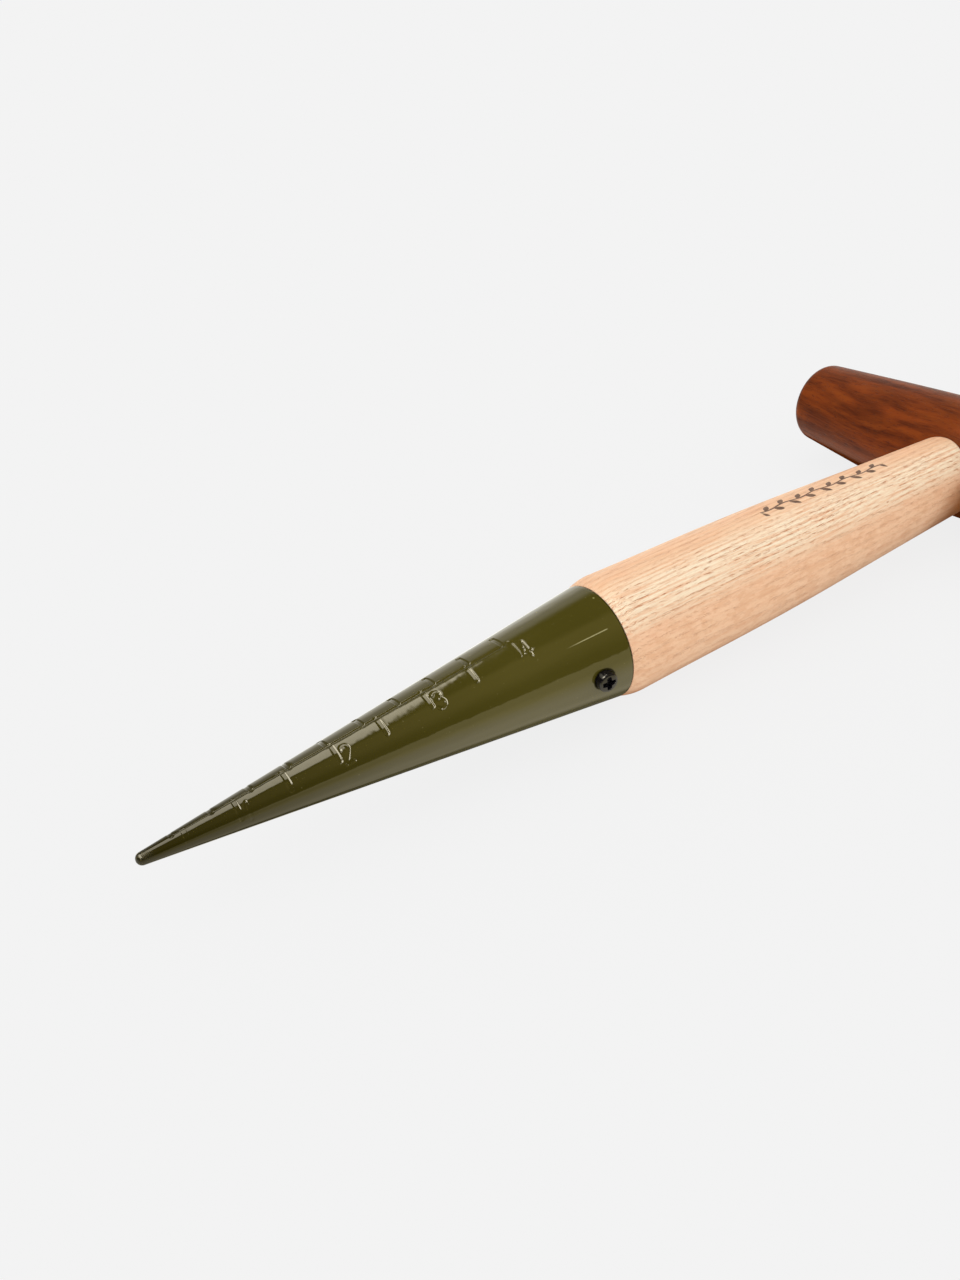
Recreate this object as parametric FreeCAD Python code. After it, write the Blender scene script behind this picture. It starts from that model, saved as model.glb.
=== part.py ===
import FreeCAD, Part
import math
import os
from FreeCAD import Vector

# Bulb planter: a pointed steel cone on a turned ash stem with a walnut cross grip.
# It is drawn lying flat. The origin is the point of the cone, +X runs along the
# tool towards the grip, +Y along the grip, and +Z is the side with the depth scale.
# An azimuth is measured round the tool from +Z towards -Y, in degrees.
# Lengths are millimetres and angles degrees.

# ---- driving dimensions ------------------------------------------------------
cone_length = 127.5          # point to open rim
rim_radius = 15.25           # outside radius at the rim
cone_half_angle = 6.2
cone_wall = 1.5              # sheet thickness
rim_edge = 0.4               # rounding of the painted rim
solid_point = 16.0           # the weld closes the cone up to here

grip_axis_x = 269.9          # point to the grip's centre line
grip_half_length = 62.8
grip_radius = 17.2           # at the middle
grip_crest_radius = 17.04    # where the rounded crest runs into the taper
grip_crest_half_length = 4.0
grip_quarter_radius = 14.92  # half way from the middle to the end
grip_shoulder_radius = 12.35 # where the end rounding starts
grip_end_edge = 3.45         # rounding of the grip's ends
grip_end_slope = 5.5         # taper angle where the end rounding starts

stem_swell_radius = 16.2     # at the shoulder's end
stem_shoulder_length = 5.5   # the shoulder swells from the rim over this length
stem_shoulder_drop = 0.1     # how far the shoulder starts inside the rim
stem_shoulder_rise = 0.75    # share of the swell reached half way along it
stem_knots = (               # fraction of the way from rim to grip axis, radius
    (0.115, 15.95),
    (0.290, 15.50),
    (0.466, 14.70),
    (0.642, 13.42),
    (0.936, 11.40),
)
tenon_radius = 11.4          # the stem's end inside the grip
spigot_length = 45.0         # wood inside the cone
spigot_gap = 0.05            # glue line round the spigot
tenon_past_axis = 7.0        # stem end, past the grip's centre line
socket_gap = 0.05            # glue line round the stem in the grip
socket_end_gap = 0.4

scale_azimuth = 5.0          # the cone is clocked a little off the grip
scale_start = -1.2           # the scale is struck from the sheet's sharp corner
inch = 25.4
inch_marks = 8               # every half inch, up to four inches
centimetre = 10.0
centimetre_marks = 10
mark_width = 0.9
mark_depth = 0.35
tick_length = 5.0            # from the scale line to the tick's end
digit_width = 2.1            # between stroke centres
digit_height = 4.6
digit_stroke = 0.75
digit_gap = 1.3              # tick centre to the digit's left side
digit_drop = 1.9             # scale line to the digit's top
one_flag_side = 0.1          # places in the digits, as shares of width or height
one_flag_height = 0.8
two_neck_side = 0.95
two_neck_drop = 0.75
two_arch_angles = (-20.0, 170.0)
three_upper_bow = 0.23
three_lower_bow = 0.27
three_open_angle = 150.0     # where the digit three's bows stop on the left
four_upright_side = 0.72
four_bar_height = 0.3

cone_screw_x = 119.0         # point to the cone screw
cone_screw_azimuth = 92.0
cone_screw_length = 12.0     # under the head
cone_screw_radius = 1.6
cone_screw_head_radius = 2.65
cone_screw_head_height = 2.5
cone_screw_side_height = 1.9 # straight side of the head
cone_screw_dome_radius = 2.1 # where the top turns down to the side
cone_screw_dome_height = 2.35
cone_screw_recess_reach = 1.9
cone_screw_recess_depth = 1.5
cone_screw_hole = 1.75       # clearance hole through the sheet
seat_radius = 2.8            # flat the screw head sits on
seat_depth = 0.2

grip_screw_length = 40.0     # head to tip
grip_screw_radius = 2.2
grip_screw_head_radius = 4.2
grip_screw_head_height = 2.8
grip_screw_neck = 5.6        # head top to the thread's start
grip_screw_recess_reach = 2.5
grip_screw_recess_depth = 2.2
grip_screw_hole = 2.5        # clearance hole through the grip
plug_radius = 5.0
plug_thickness = 3.2
plug_gap = 0.05

screw_point_length = 4.0
thread_pitch = 1.4
thread_depth = 0.35
thread_gap = 0.02            # the wood is bored to the thread's crest
bore_past_point = 0.5
recess_width = 0.9           # one slot of the cross recess
recess_slope = 0.45          # how fast the recess narrows with depth

# ---- values worked out from them ---------------------------------------------
half_angle = math.radians(cone_half_angle)
taper = math.tan(half_angle)
sharp_end_radius = rim_radius - cone_length * taper
point_radius = sharp_end_radius * math.cos(half_angle) / (1.0 - math.sin(half_angle))
wall_across = cone_wall / math.cos(half_angle)
grip_top_x = grip_axis_x + grip_radius
tenon_end_x = grip_axis_x + tenon_past_axis
stem_run = grip_axis_x - cone_length
layer_clearance = 1.0        # cutting tools stand this far outside the surface

X_AXIS = Vector(1, 0, 0)
Y_AXIS = Vector(0, 1, 0)
Z_AXIS = Vector(0, 0, 1)
ORIGIN = Vector(0, 0, 0)


def cone_radius(x):
    """Outside radius of the cone, ignoring the rounded point."""
    return sharp_end_radius + x * taper


def polyline_edges(points):
    """Straight edges from each (x, r) point to the next, in the XY plane."""
    corners = [Vector(x, r, 0) for x, r in points]
    return [Part.makeLine(a, b) for a, b in zip(corners, corners[1:])]


def revolve_edges(edges, base, axis, angle=360.0):
    """Solid of revolution of a closed profile."""
    face = Part.Face(Part.Wire(Part.__sortEdges__(edges)))
    return face.revolve(base, axis, angle)


def turn(shape, azimuth):
    """Copy of a shape turned round the tool from +Z towards -Y."""
    moved = shape.copy()
    moved.rotate(ORIGIN, X_AXIS, azimuth)
    return moved


def surface_layer(x0, x1, depth, angle=360.0):
    """Ring that reaches from outside the cone to a depth below its surface."""
    profile = [
        (x0, cone_radius(x0) - depth),
        (x1, cone_radius(x1) - depth),
        (x1, cone_radius(x1) + layer_clearance),
        (x0, cone_radius(x0) + layer_clearance),
        (x0, cone_radius(x0) - depth),
    ]
    edges = polyline_edges(profile)
    for edge in edges:
        edge.rotate(ORIGIN, X_AXIS, 90.0)
    return revolve_edges(edges, ORIGIN, X_AXIS, angle)


# ---- steel cone ----------------------------------------------------------------
def cone_shell():
    """Rolled sheet cone with a rounded, weld-closed point and an open rim."""
    tangent = Vector(
        point_radius * (1.0 - math.sin(half_angle)), point_radius * math.cos(half_angle), 0
    )
    middle = math.radians(135.0) + 0.5 * half_angle
    arc_middle = Vector(
        point_radius * (1.0 + math.cos(middle)), point_radius * math.sin(middle), 0
    )
    nose = Part.Arc(ORIGIN, arc_middle, tangent).toShape()

    edge_start = Vector(cone_length - rim_edge, cone_radius(cone_length - rim_edge), 0)
    edge_end = Vector(cone_length, rim_radius - rim_edge, 0)
    bulge = rim_edge * (1.0 - math.sqrt(0.5))
    edge_middle = Vector(cone_length - bulge, rim_radius - bulge, 0)
    rim = Part.Arc(edge_start, edge_middle, edge_end).toShape()

    side = Part.makeLine(tangent, edge_start)
    inside = polyline_edges([
        (cone_length, rim_radius - rim_edge),
        (cone_length, rim_radius - wall_across),
        (solid_point, cone_radius(solid_point) - wall_across),
        (solid_point, 0.0),
        (0.0, 0.0),
    ])
    return revolve_edges([nose, side, rim] + inside, ORIGIN, X_AXIS)


def slot_prism(start, end, width, height):
    """Upright prism with round ends along a straight stroke."""
    run = end - start
    tool = Part.makeCylinder(width / 2.0, height, start)
    tool = tool.fuse(Part.makeCylinder(width / 2.0, height, end))
    bar = Part.makeBox(run.Length, width, height, Vector(0, -width / 2.0, 0))
    bar.rotate(ORIGIN, Z_AXIS, math.degrees(math.atan2(run.y, run.x)))
    bar.translate(start)
    return tool.fuse(bar)


def arc_prism(centre, radius, first, last, width, height):
    """Upright prism with round ends along an arc from first to last degrees."""
    ring = Part.makeCylinder(radius + width / 2.0, height, centre, Z_AXIS, last - first)
    ring = ring.cut(Part.makeCylinder(radius - width / 2.0, height, centre))
    ring.rotate(centre, Z_AXIS, first)
    for angle in (first, last):
        turned = math.radians(angle)
        end = centre + Vector(radius * math.cos(turned), radius * math.sin(turned), 0)
        ring = ring.fuse(Part.makeCylinder(width / 2.0, height, end))
    return ring


def digit_strokes(digit):
    """Strokes of a plain digit: lines as point pairs, arcs as centre, radius, angles."""
    w = digit_width
    h = digit_height
    middle = w / 2.0
    if digit == 1:
        flag = (one_flag_side * w, one_flag_height * h)
        return [((middle, 0.0), (middle, h)), ((middle, h), flag)]
    if digit == 2:
        neck = (two_neck_side * w, h - two_neck_drop * w)
        arch = ((middle, h - middle), middle, two_arch_angles[0], two_arch_angles[1])
        return [arch, (neck, (0.0, 0.0)), ((0.0, 0.0), (w, 0.0))]
    if digit == 3:
        upper = three_upper_bow * h
        lower = three_lower_bow * h
        return [
            ((middle, h - upper), upper, -90.0, three_open_angle),
            ((middle, lower), lower, -three_open_angle, 90.0),
        ]
    upright = four_upright_side * w
    bar = four_bar_height * h
    return [((upright, 0.0), (upright, h)), ((upright, h), (0.0, bar)), ((0.0, bar), (w, bar))]


def digit_tool(digit, x, height):
    """Cutter for one digit, standing on the tangent plane of the cone."""
    middle_radius = cone_radius(x)
    tool = None
    for stroke in digit_strokes(digit):
        if len(stroke) == 2:
            start = Vector(stroke[0][0], stroke[0][1], 0)
            end = Vector(stroke[1][0], stroke[1][1], 0)
            piece = slot_prism(start, end, digit_stroke, height)
        else:
            centre = Vector(stroke[0][0], stroke[0][1], 0)
            piece = arc_prism(centre, stroke[1], stroke[2], stroke[3], digit_stroke, height)
        tool = piece if tool is None else tool.fuse(piece)
    tool.translate(Vector(x + digit_gap, -digit_height / 2.0, 0))
    drop = digit_drop + digit_height / 2.0
    return turn(tool, scale_azimuth + math.degrees(drop / middle_radius))


def tick_tool(x, side):
    """Cutter for one graduation, on the +1 (inch) or -1 (centimetre) side."""
    sweep = math.degrees(tick_length / cone_radius(x))
    ring = surface_layer(x - mark_width / 2.0, x + mark_width / 2.0, mark_depth, sweep)
    start = scale_azimuth if side > 0 else scale_azimuth - sweep
    return turn(ring, start)


def scale_tools():
    """All cutters of the stamped depth scale."""
    line_end = scale_start + centimetre * centimetre_marks + 0.5 * mark_width
    line_start = scale_start + centimetre
    depth_layer = surface_layer(line_start, line_end, mark_depth)
    reach = rim_radius + layer_clearance
    bar = Part.makeBox(
        line_end - line_start, mark_width, reach, Vector(line_start, -mark_width / 2.0, 0)
    )
    tools = [turn(bar, scale_azimuth).common(depth_layer)]
    for mark in range(1, inch_marks + 1):
        x = scale_start + mark * inch / 2.0
        tools.append(tick_tool(x, 1))
        if mark % 2 == 0:
            far_side = x + digit_gap + digit_width + digit_stroke
            near = surface_layer(x, far_side, mark_depth)
            tools.append(digit_tool(mark // 2, x, reach).common(near))
    for mark in range(1, centimetre_marks + 1):
        tools.append(tick_tool(scale_start + mark * centimetre, -1))
    return tools


def cone_screw_frame(shape):
    """Move a screw drawn along +Z, seat plane at zero, to its place on the cone."""
    placed = shape.copy()
    seat = cone_radius(cone_screw_x) - seat_depth
    placed.rotate(ORIGIN, Y_AXIS, -cone_half_angle)
    placed.translate(Vector(cone_screw_x, 0, seat))
    return turn(placed, cone_screw_azimuth)


def steel_cone():
    """The cone with its stamped scale, screw hole and screw seat."""
    cone = cone_shell()
    for tool in scale_tools():
        cone = cone.cut(tool)
    depth = cone_wall + layer_clearance
    hole = Part.makeCylinder(cone_screw_hole, depth + layer_clearance, Vector(0, 0, -depth))
    seat = Part.makeCylinder(seat_radius, layer_clearance)
    return cone.cut(cone_screw_frame(hole)).cut(cone_screw_frame(seat))


# ---- screws --------------------------------------------------------------------
def screw_edges(points):
    """Straight edges from each (radius, height) point to the next, in the XZ plane."""
    corners = [Vector(r, 0, z) for r, z in points]
    return [Part.makeLine(a, b) for a, b in zip(corners, corners[1:])]


def thread_points(neck, length, radius):
    """Points (radius, height) of a threaded shank, from its neck down to its point."""
    core = radius - thread_depth
    point_start = screw_point_length - length
    points = []
    z = neck
    while z - thread_pitch > point_start:
        points.append((core, z))
        points.append((radius, z - 0.5 * thread_pitch))
        z -= thread_pitch
    points.append((core, point_start))
    points.append((0.0, -length))
    return points


def cross_recess(top, reach, depth):
    """Two crossed slots that narrow with depth, cut down from the head's top."""
    low = reach - recess_slope * depth
    slots = None
    for angle in (0.0, 90.0):
        side = -recess_width / 2.0
        outline = Part.makePolygon([
            Vector(-reach, side, top),
            Vector(reach, side, top),
            Vector(low, side, top - depth),
            Vector(-low, side, top - depth),
            Vector(-reach, side, top),
        ])
        slot = Part.Face(outline).extrude(Vector(0, recess_width, 0))
        slot.rotate(ORIGIN, Z_AXIS, angle)
        slots = slot if slots is None else slots.fuse(slot)
    return slots


def cone_screw():
    """Black pan-head wood screw that pins the cone to the stem."""
    r = cone_screw_head_radius
    top = cone_screw_head_height
    dome = Part.Arc(
        Vector(0, 0, top),
        Vector(cone_screw_dome_radius, 0, cone_screw_dome_height),
        Vector(r, 0, cone_screw_side_height),
    ).toShape()
    points = [(r, cone_screw_side_height), (r, 0.0), (cone_screw_radius, 0.0)]
    points += thread_points(-cone_wall, cone_screw_length, cone_screw_radius)
    points.append((0.0, top))
    screw = revolve_edges([dome] + screw_edges(points), ORIGIN, Z_AXIS)
    recess = cross_recess(top, cone_screw_recess_reach, cone_screw_recess_depth)
    return cone_screw_frame(screw.cut(recess))


def grip_screw_frame(shape):
    """Move a screw drawn along +Z, head top at zero, onto the tool's axis."""
    placed = shape.copy()
    placed.rotate(ORIGIN, Y_AXIS, 90.0)
    placed.translate(Vector(grip_top_x - plug_thickness - plug_gap, 0, 0))
    return placed


def grip_screw():
    """Countersunk wood screw that holds the grip on the stem."""
    neck = -grip_screw_neck
    points = [
        (0.0, 0.0),
        (grip_screw_head_radius, 0.0),
        (grip_screw_radius, -grip_screw_head_height),
        (grip_screw_radius, neck),
    ]
    points += thread_points(neck, grip_screw_length, grip_screw_radius)
    points.append((0.0, 0.0))
    screw = revolve_edges(screw_edges(points), ORIGIN, Z_AXIS)
    recess = cross_recess(0.0, grip_screw_recess_reach, grip_screw_recess_depth)
    return grip_screw_frame(screw.cut(recess))


# ---- wood ----------------------------------------------------------------------
def turned_stem(gap):
    """Stem turned in one piece: spigot, shoulder, long taper and tenon, plus a gap."""
    shoulder_x = cone_length + spigot_gap
    swell_x = shoulder_x + stem_shoulder_length
    lip = rim_radius - stem_shoulder_drop + gap
    swell = stem_swell_radius + gap
    half_way = lip + (swell - lip) * stem_shoulder_rise
    rounding = Part.Arc(
        Vector(shoulder_x, lip, 0),
        Vector(0.5 * (shoulder_x + swell_x), half_way, 0),
        Vector(swell_x, swell, 0),
    ).toShape()

    knots = [Vector(swell_x, swell, 0)]
    for fraction, radius in stem_knots:
        knots.append(Vector(cone_length + fraction * stem_run, radius + gap, 0))
    body = Part.BSplineCurve()
    body.interpolate(knots)

    spigot_end = cone_length - spigot_length
    inside = spigot_gap + wall_across
    front = polyline_edges([
        (spigot_end, 0.0),
        (spigot_end, cone_radius(spigot_end) - inside),
        (shoulder_x, cone_radius(shoulder_x) - inside),
        (shoulder_x, lip),
    ])
    back = polyline_edges([
        (knots[-1].x, tenon_radius + gap),
        (tenon_end_x, tenon_radius + gap),
        (tenon_end_x, 0.0),
        (spigot_end, 0.0),
    ])
    return revolve_edges(front + [rounding, body.toShape()] + back, ORIGIN, X_AXIS)


def ash_stem():
    """The stem with the two holes its screws run in."""
    depth = cone_screw_length + bore_past_point
    cone_bore = Part.makeCylinder(cone_screw_radius + thread_gap, depth, Vector(0, 0, -depth))
    depth = grip_screw_length + bore_past_point
    grip_bore = Part.makeCylinder(grip_screw_radius + thread_gap, depth, Vector(0, 0, -depth))
    stem = turned_stem(0.0).cut(cone_screw_frame(cone_bore))
    return stem.cut(grip_screw_frame(grip_bore))


def grip_half_edges(side):
    """Outline of one half of the grip, from its middle to its flat end."""
    slope = math.radians(grip_end_slope)
    start_y = grip_half_length - grip_end_edge * (1.0 - math.sin(slope))
    knots = [
        (0.0, grip_radius),
        (grip_crest_half_length, grip_crest_radius),
        (0.5 * grip_half_length, grip_quarter_radius),
        (start_y, grip_shoulder_radius),
    ]
    curve = Part.BSplineCurve()
    curve.interpolate(
        Points=[Vector(grip_axis_x + r, side * y, 0) for y, r in knots],
        InitialTangent=Vector(0, side, 0),
        FinalTangent=Vector(-math.sin(slope), side * math.cos(slope), 0),
    )
    centre_y = grip_half_length - grip_end_edge
    centre_r = grip_shoulder_radius - grip_end_edge * math.cos(slope)
    middle = 0.5 * (math.pi / 2.0 + slope)
    arc = Part.Arc(
        Vector(grip_axis_x + grip_shoulder_radius, side * start_y, 0),
        Vector(
            grip_axis_x + centre_r + grip_end_edge * math.sin(math.pi / 2.0 - middle + slope),
            side * (centre_y + grip_end_edge * math.cos(math.pi / 2.0 - middle + slope)),
            0,
        ),
        Vector(grip_axis_x + centre_r, side * grip_half_length, 0),
    )
    flat = Part.makeLine(
        Vector(grip_axis_x + centre_r, side * grip_half_length, 0),
        Vector(grip_axis_x, side * grip_half_length, 0),
    )
    return [curve.toShape(), arc.toShape(), flat]


def turned_grip():
    """The grip's outside: a barrel that tapers to rounded, flat ends."""
    centre_line = Part.makeLine(
        Vector(grip_axis_x, -grip_half_length, 0), Vector(grip_axis_x, grip_half_length, 0)
    )
    edges = grip_half_edges(1) + grip_half_edges(-1) + [centre_line]
    return revolve_edges(edges, Vector(grip_axis_x, 0, 0), Y_AXIS)


def walnut_grip():
    """The grip with its socket for the stem and its screw and plug holes."""
    socket_end = Part.makeCylinder(
        tenon_radius + socket_gap, socket_end_gap, Vector(tenon_end_x, 0, 0), X_AXIS
    )
    head_top = grip_top_x - plug_thickness - plug_gap
    plug_hole = Part.makeCylinder(
        plug_radius, plug_thickness + layer_clearance, Vector(head_top, 0, 0), X_AXIS
    )
    sink = Part.makeCone(
        grip_screw_hole, grip_screw_head_radius + grip_screw_hole - grip_screw_radius,
        grip_screw_head_height, Vector(head_top - grip_screw_head_height, 0, 0), X_AXIS
    )
    shank_hole = Part.makeCylinder(
        grip_screw_hole, head_top - tenon_end_x, Vector(tenon_end_x, 0, 0), X_AXIS
    )
    grip = turned_grip()
    for cutter in (turned_stem(socket_gap), socket_end, plug_hole, sink, shank_hole):
        grip = grip.cut(cutter)
    return grip


def grip_plug():
    """Walnut plug over the grip screw, trimmed to the grip's barrel."""
    blank = Part.makeCylinder(
        plug_radius - plug_gap,
        plug_thickness + layer_clearance,
        Vector(grip_top_x - plug_thickness, 0, 0),
        X_AXIS,
    )
    return blank.common(turned_grip())


parts = {
    "steel_cone": steel_cone,
    "cone_screw": cone_screw,
    "ash_stem": ash_stem,
    "walnut_grip": walnut_grip,
    "grip_screw": grip_screw,
    "grip_plug": grip_plug,
}

os.makedirs("parts", exist_ok=True)
for name, make in parts.items():
    solid = make()
    solid.exportStep("parts/" + name + ".step")
    print(name, len(solid.Solids), "solid, valid", solid.isValid(), "volume", round(solid.Volume, 1))
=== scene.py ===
import math

import bpy
import numpy as np
from mathutils import Matrix, Vector


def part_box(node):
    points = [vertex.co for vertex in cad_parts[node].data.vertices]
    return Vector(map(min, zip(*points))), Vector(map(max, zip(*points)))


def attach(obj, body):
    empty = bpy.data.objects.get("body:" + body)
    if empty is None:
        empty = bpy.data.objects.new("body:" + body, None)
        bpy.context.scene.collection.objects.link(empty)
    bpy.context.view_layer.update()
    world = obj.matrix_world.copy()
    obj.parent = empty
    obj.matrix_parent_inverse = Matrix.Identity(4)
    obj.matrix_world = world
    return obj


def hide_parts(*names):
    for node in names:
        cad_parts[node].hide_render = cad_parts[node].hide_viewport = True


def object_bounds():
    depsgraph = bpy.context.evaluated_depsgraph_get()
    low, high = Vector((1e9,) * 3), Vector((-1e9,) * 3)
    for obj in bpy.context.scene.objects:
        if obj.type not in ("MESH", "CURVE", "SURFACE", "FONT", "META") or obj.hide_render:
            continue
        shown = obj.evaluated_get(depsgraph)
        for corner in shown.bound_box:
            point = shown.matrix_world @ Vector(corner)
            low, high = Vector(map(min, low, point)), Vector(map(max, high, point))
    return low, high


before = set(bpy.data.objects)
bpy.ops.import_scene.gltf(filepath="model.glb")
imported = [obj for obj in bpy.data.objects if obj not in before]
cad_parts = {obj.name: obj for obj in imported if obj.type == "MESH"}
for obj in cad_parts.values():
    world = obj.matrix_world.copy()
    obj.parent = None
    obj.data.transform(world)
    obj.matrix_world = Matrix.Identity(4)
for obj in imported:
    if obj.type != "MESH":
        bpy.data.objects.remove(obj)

# Bulb planter in its own frame: the point is the origin, +X runs along the tool to the
# grip, +Y along the grip, +Z is the side with the depth scale. Meshes are worked out in
# millimetres and stored in metres. An azimuth runs round the tool from +Z towards -Y.

MM = 0.001
cad_low, cad_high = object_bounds()
cone_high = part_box("steel_cone")[1]
stem_low, stem_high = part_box("ash_stem")
grip_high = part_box("walnut_grip")[1]
plug_low, plug_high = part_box("grip_plug")

# ---- the cone ------------------------------------------------------------------
CONE_LENGTH = cone_high.x / MM
HALF_ANGLE = math.radians(6.2)
TAPER = math.tan(HALF_ANGLE)
WALL = 1.5
ACROSS_WALL = WALL / math.cos(HALF_ANGLE)
RIM_EDGE = 0.4
RIM_RADIUS = cone_high.z / MM + RIM_EDGE * TAPER
SHARP_END_RADIUS = RIM_RADIUS - CONE_LENGTH * TAPER
POINT_RADIUS = SHARP_END_RADIUS * math.cos(HALF_ANGLE) / (1.0 - math.sin(HALF_ANGLE))
SOLID_POINT = 16.0
INNER_CHAMFER = 0.3

# ---- the stamped depth scale ------------------------------------------------------
SCALE_AZIMUTH = math.radians(5.0)
SCALE_START = -1.2
INCH = 25.4
CENTIMETRE = 10.0
# The inch side has a tick each half inch, kept with its number; every second one has a digit.
INCH_TICKS = [(SCALE_START + k * INCH / 2.0, k) for k in range(1, 9)]
CENTIMETRE_TICKS = [SCALE_START + k * CENTIMETRE for k in range(1, 11)]
TICK_LENGTH = 5.0
DIGIT_WIDTH = 2.1
DIGIT_HEIGHT = 4.6
DIGIT_GAP = 1.3
DIGIT_DROP = 1.9
# Each groove has a depth, a half-width at full depth, and a half-width at the surface.
LINE_DEPTH, LINE_FLAT, LINE_REACH = 0.30, 0.12, 0.60
TICK_DEPTH, TICK_FLAT, TICK_REACH = 0.26, 0.42, 0.74
DIGIT_DEPTH, DIGIT_FLAT, DIGIT_REACH = 0.15, 0.16, 0.60
TICK_STEEP, TICK_EASY = 1.25, 0.80
# Share of a mark's depth that is lost per millimetre towards the rim.
TICK_TILT, DIGIT_TILT = 0.24, 0.16
FAINT_TICK, FAINT_DEPTH = 8, 0.06
# The marks get slimmer and shallower where the cone is thinner than this.
FULL_SCALE_RADIUS = 9.0
# Small pits at the ends of a digit's strokes, as shares of its width and height.
PIT_DEPTH, PIT_REACH = 0.16, 0.46
DIGIT_PITS = {1: [(0.5, 0.0), (0.5, 1.0)], 2: [(0.0, 0.0), (1.0, 0.0), (0.0, 0.8)],
              3: [(0.2, 0.0), (0.9, 0.25), (0.5, 0.54), (0.9, 0.75), (0.1, 0.9)],
              4: [(0.7, 0.0), (0.7, 0.3), (1.0, 0.3), (0.0, 0.3), (0.35, 0.65), (0.7, 1.0)]}
CREASE_START, CREASE_END = 111.0, 123.9
CREASE_AZIMUTH = 45.2
CREASE_HEIGHT, CREASE_REACH = 0.07, 0.24
# Each painted glint of a paint nib has a place along the cone, an azimuth in degrees and a radius.
NIB_GLINTS = [(125.8, 10.0, 0.32), (119.6, 82.4, 0.26)]

# ---- how closely the cone's mesh is cut ----------------------------------------------
FINE_STEP, WIDE_STEP, SEAT_STEP = 0.13, 1.3, 0.35
SMALLEST_STEP = 0.7 * FINE_STEP
TICK_MARGIN = (-0.8, 1.0)
DIGIT_MARGIN = (0.6, DIGIT_GAP + DIGIT_WIDTH + 0.7)
# Stretches of columns across the scale line: first, last and step.
SCALE_BANDS = [(-6.0, -0.8, 0.16), (-0.75, 0.75, 0.09), (0.8, 7.5, 0.14), (7.6, 11.0, 0.16)]
SCALE_SHARE = 0.7
PLAIN_COLUMNS = 50
# The screw's columns, as shares of the way round from the scale's end to its start.
SEAT_COLUMNS, SEAT_SHARES = 26, (0.103, 0.253)
POINT_FIRST_ANGLE, RIM_FIRST_ANGLE = 176.0, 88.0
SMALLEST_RING = 0.3

# ---- the screws --------------------------------------------------------------------
SCREW_X = 119.0
SCREW_AZIMUTH = math.radians(92.0)
SEAT_DEPTH = 0.2
SEAT_RADIUS = 2.7
SEAT_REACH = 2.85
SEAT_WINDOW = 3.0
HEAD_RADIUS, FACE_RADIUS = 2.65, 1.95
# Heights in the pan head: its middle, the top of its side, and how far its face domes.
HEAD_HEIGHT, HEAD_SIDE, HEAD_CROWN = 2.5, 1.75, 0.15
HEAD_WAIST, HEAD_BEVEL = 1.2, 0.06
ROUND_START = 0.25
GRIP_HEAD_RADIUS, GRIP_HEAD_DEPTH = 4.2, 2.75
MIDDLE_RADIUS, FACE_RINGS = 0.04, 40
SHANK_RADIUS, GRIP_SHANK_RADIUS = 1.6, 2.2
# A cross recess has a reach, a half-width of its arms and a depth.
CROSS_RECESS, GRIP_CROSS_RECESS = (1.85, 0.56, 1.5), (2.6, 0.45, 1.9)
ARM_NARROWING, ARM_WALL, ARM_END = 0.45, 0.16, 0.55
# A shank has a length and the length of its smooth neck.
SHANK, GRIP_SHANK = (12.0, 1.5), (40.0, 5.6)
THREAD_PITCH, THREAD_RIDGE, THREAD_POINT = 1.4, 0.35, 4.0
ROWS_PER_TURN = 8.0
SCREW_COLUMNS = 96
SCREW_SMOOTH_ANGLE = 40.0

# ---- the wood ----------------------------------------------------------------------
GLUE_GAP = 0.05
GRIP_AXIS_X = 269.9
GRIP_RADIUS = grip_high.z / MM
GRIP_HALF = grip_high.y / MM
GRIP_SLOPE = math.radians(5.5)
GRIP_EDGE, GRIP_EDGE_STEP = 3.45, math.radians(4.0)
GRIP_END_RADIUS = 12.35
GRIP_QUARTER_RADIUS = 14.92
GRIP_SWELL_HALF, GRIP_SWELL_RADIUS = 4.0, 17.04
BORE_CLEARANCE = 0.06
BORE_LENGTH = 9.0
BORE_POLE = 0.1
STEM_RUN = GRIP_AXIS_X - CONE_LENGTH
STEM_SWELL = stem_high.z / MM
SHOULDER_DROP = 0.1
SHOULDER_LENGTH = 5.5
SHOULDER_CHAMFER = 0.3
SPIGOT_CHAMFER, SPIGOT_CHAMFER_LENGTH = 1.0, 0.5
TENON_CHAMFER = 1.0
# Radii along the stem, at shares of the run from the rim to the grip's axis.
STEM_STATIONS = [(0.115, 15.95), (0.290, 15.50), (0.466, 14.70), (0.642, 13.42), (0.936, 11.40)]
TENON_RADIUS = 11.4
STEM_COLUMNS, GRIP_COLUMNS, SOCKET_COLUMNS, BORE_COLUMNS = 220, 240, 120, 96


def cone_radius(x):
    """Outside radius of the cone in millimetres."""
    return SHARP_END_RADIUS + x * TAPER


# ---- mesh helpers --------------------------------------------------------------------
def shade(mesh, smooth_angle=30.0):
    """Smooth shading with sharp edges beyond an angle."""
    for polygon in mesh.polygons:
        polygon.use_smooth = True
    mesh.set_sharp_from_angle(angle=math.radians(smooth_angle))


def link(name, mesh, smooth_angle=30.0):
    """New object in the scene from a mesh."""
    mesh.validate()
    shade(mesh, smooth_angle)
    piece = bpy.data.objects.new(name, mesh)
    bpy.context.scene.collection.objects.link(piece)
    return piece


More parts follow.
